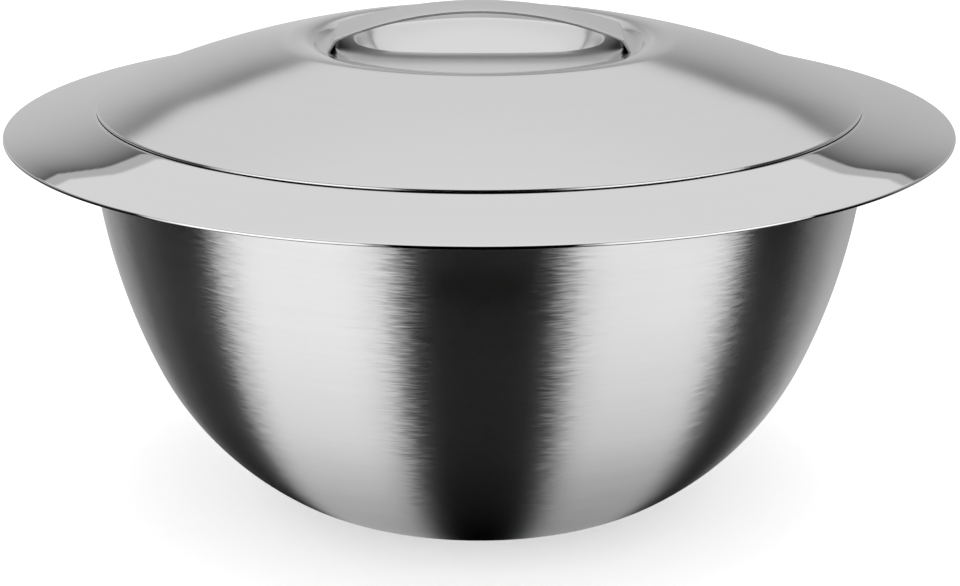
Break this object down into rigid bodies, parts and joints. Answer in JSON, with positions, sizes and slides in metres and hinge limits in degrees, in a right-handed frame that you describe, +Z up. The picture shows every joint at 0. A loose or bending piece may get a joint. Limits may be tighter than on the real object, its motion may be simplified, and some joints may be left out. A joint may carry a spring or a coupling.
{
  "type": "insulated bowl with lid",
  "caption": "Double-walled stainless serving bowl with a wide polished rim and a domed lid whose arched strap handle spans a pressed recess.",
  "frame": {"origin": "on the table, at the middle of the flat base", "axes": "+Z up along the bowl's axis; the lid's bridge runs along X"},
  "size_m": [0.34, 0.34, 0.1821],
  "materials": {
    "brushed_wall": "stainless steel, brushed round the axis",
    "polished": "stainless steel, mirror polished",
    "satin_polish": "stainless steel, fine satin polish"
  },
  "bodies": {
    "bowl": {"outer_shell": "brushed_wall", "inner_shell": "polished"},
    "lid": {"lid_dome": "satin_polish", "lid_liner": "satin_polish", "grip_cup": "polished", "grip_bridge": "satin_polish"}
  },
  "joints": [
    {"name": "lid_lift", "type": "slide", "parent": "bowl", "child": "lid", "axis": [0, 0, 1], "range_m": [0, 0.12]}
  ]
}
